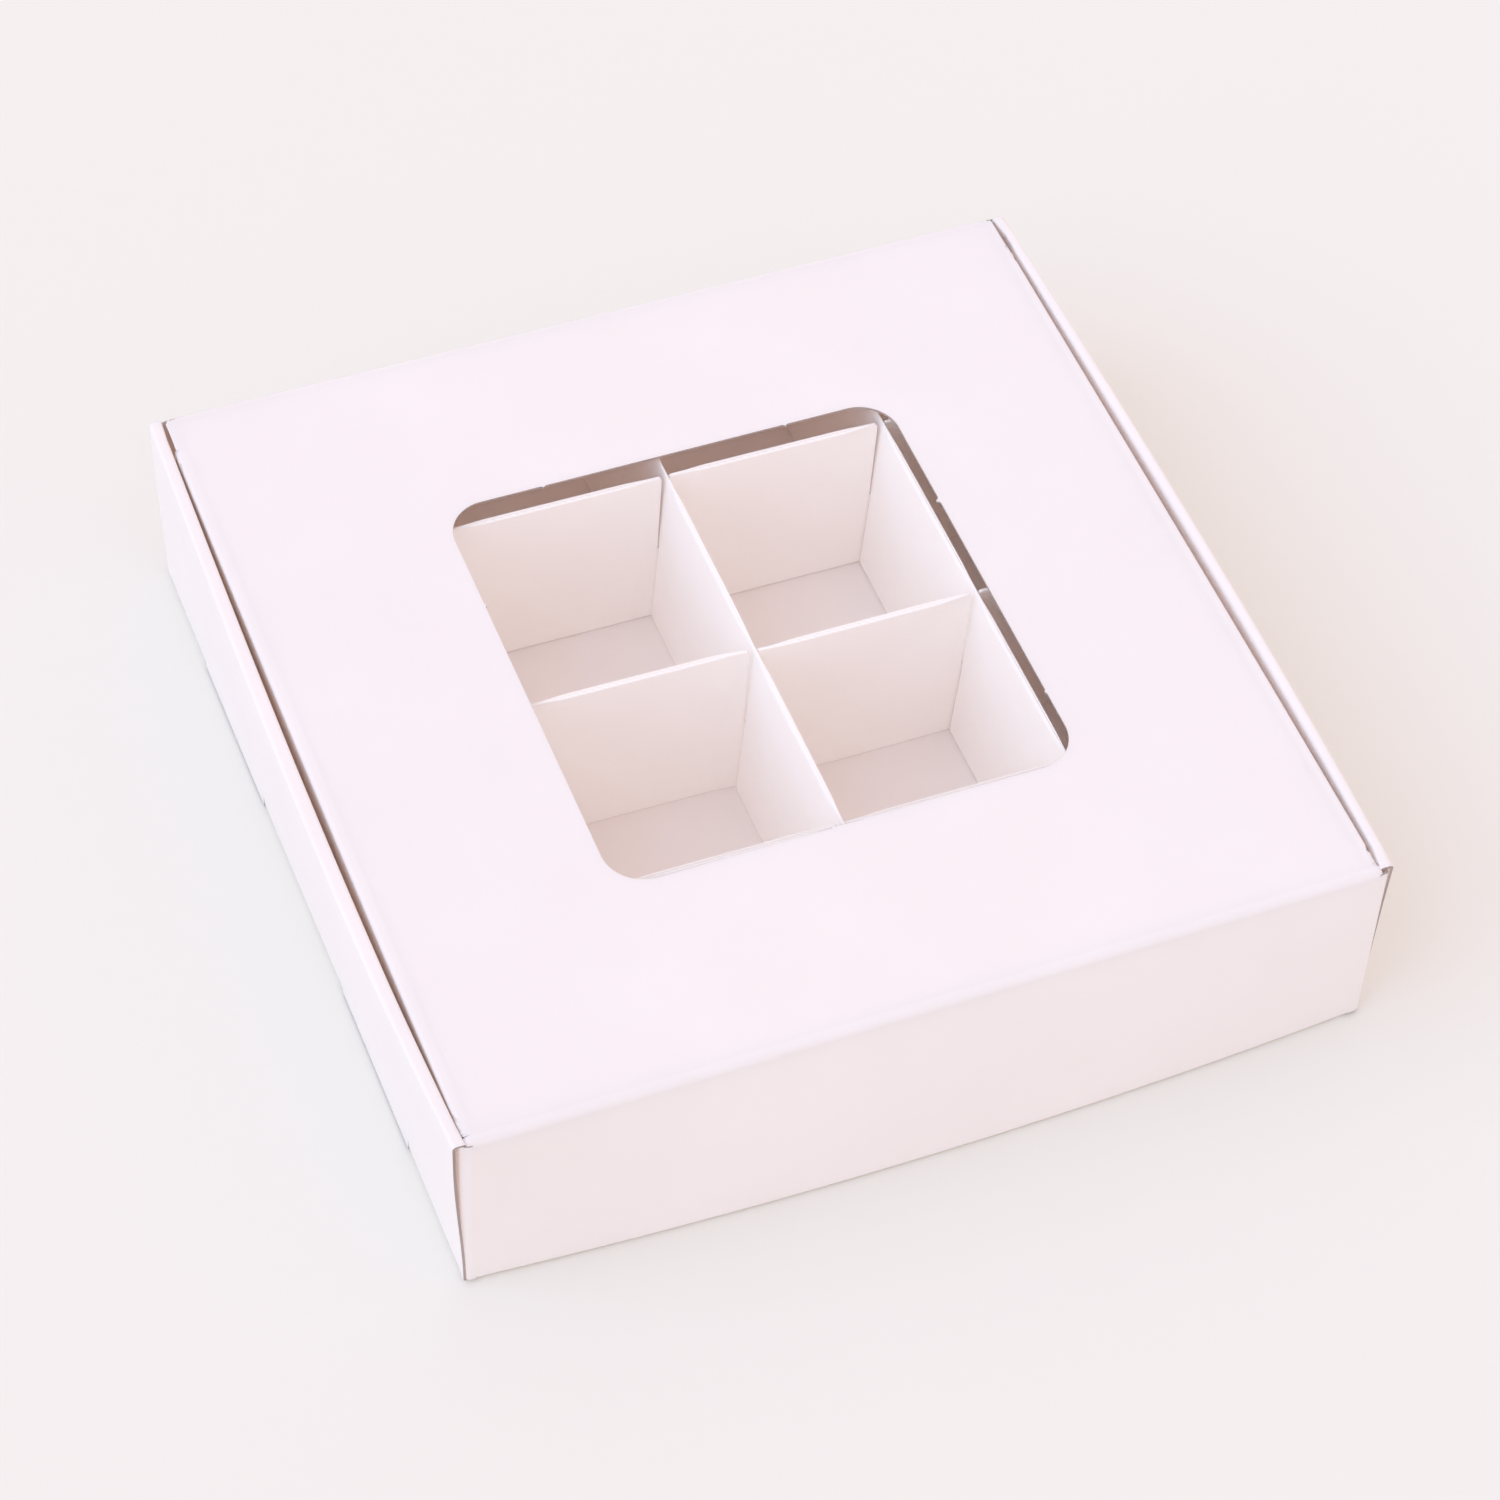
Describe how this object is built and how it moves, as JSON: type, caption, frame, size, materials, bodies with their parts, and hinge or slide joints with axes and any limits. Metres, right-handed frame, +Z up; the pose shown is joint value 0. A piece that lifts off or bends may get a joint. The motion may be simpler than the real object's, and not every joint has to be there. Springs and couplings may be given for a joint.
{
  "type": "window gift box",
  "caption": "Low square paperboard gift box with a hinged tuck-in lid, a clear film window in it and a slotted cross-strip insert that makes cells",
  "frame": {"origin": "middle of the underside, on the surface that the box stands on", "axes": "+X right as seen from the hinge side, +Y from the hinge wall to the front wall, +Z up"},
  "size_m": [0.1871, 0.18, 0.045],
  "materials": {
    "white_board": "matte white coated folding board, 0.5 mm",
    "insert_board": "matte uncoated white board, 0.5 mm",
    "clear_film": "clear glossy window film"
  },
  "bodies": {
    "box": {"base_panel": "white_board", "hinge_wall": "white_board", "front_wall": "white_board", "left_outer_wall": "white_board", "right_outer_wall": "white_board", "left_top_strip": "white_board", "right_top_strip": "white_board", "left_inner_wall": "white_board", "right_inner_wall": "white_board", "hinge_left_corner_flap": "white_board", "hinge_right_corner_flap": "white_board", "front_left_corner_flap": "white_board", "front_right_corner_flap": "white_board"},
    "lid": {"lid_panel": "white_board", "window_film": "clear_film"},
    "tuck_flap": {"tuck_flap": "white_board"},
    "left_dust_flap": {"left_dust_flap": "white_board"},
    "right_dust_flap": {"right_dust_flap": "white_board"},
    "insert": {"long_strip_1": "insert_board", "long_strip_2": "insert_board", "long_strip_3": "insert_board", "cross_strip_1": "insert_board", "cross_strip_2": "insert_board", "cross_strip_3": "insert_board"}
  },
  "joints": [
    {"name": "lid_hinge", "type": "hinge", "parent": "box", "child": "lid", "pos_m": [0, -0.08975, 0.04475], "axis": [1, 0, 0], "range_deg": [0, 180]},
    {"name": "tuck_flap_fold", "type": "hinge", "parent": "lid", "child": "tuck_flap", "pos_m": [0, 0.08895, 0.04475], "axis": [1, 0, 0], "range_deg": [0, 90]},
    {"name": "left_dust_flap_fold", "type": "hinge", "parent": "lid", "child": "left_dust_flap", "pos_m": [-0.08895, 0, 0.04475], "axis": [0, -1, 0], "range_deg": [0, 4.5]},
    {"name": "right_dust_flap_fold", "type": "hinge", "parent": "lid", "child": "right_dust_flap", "pos_m": [0.08805, 0, 0.04475], "axis": [0, 1, 0], "range_deg": [0, 4.5]},
    {"name": "insert_lift", "type": "slide", "parent": "box", "child": "insert", "axis": [0, 0, 1], "range_m": [0, 0.0015]}
  ],
  "couplings": [
    {"joint": "tuck_flap_fold", "follows": "lid_hinge", "ratio": 0.5}
  ]
}
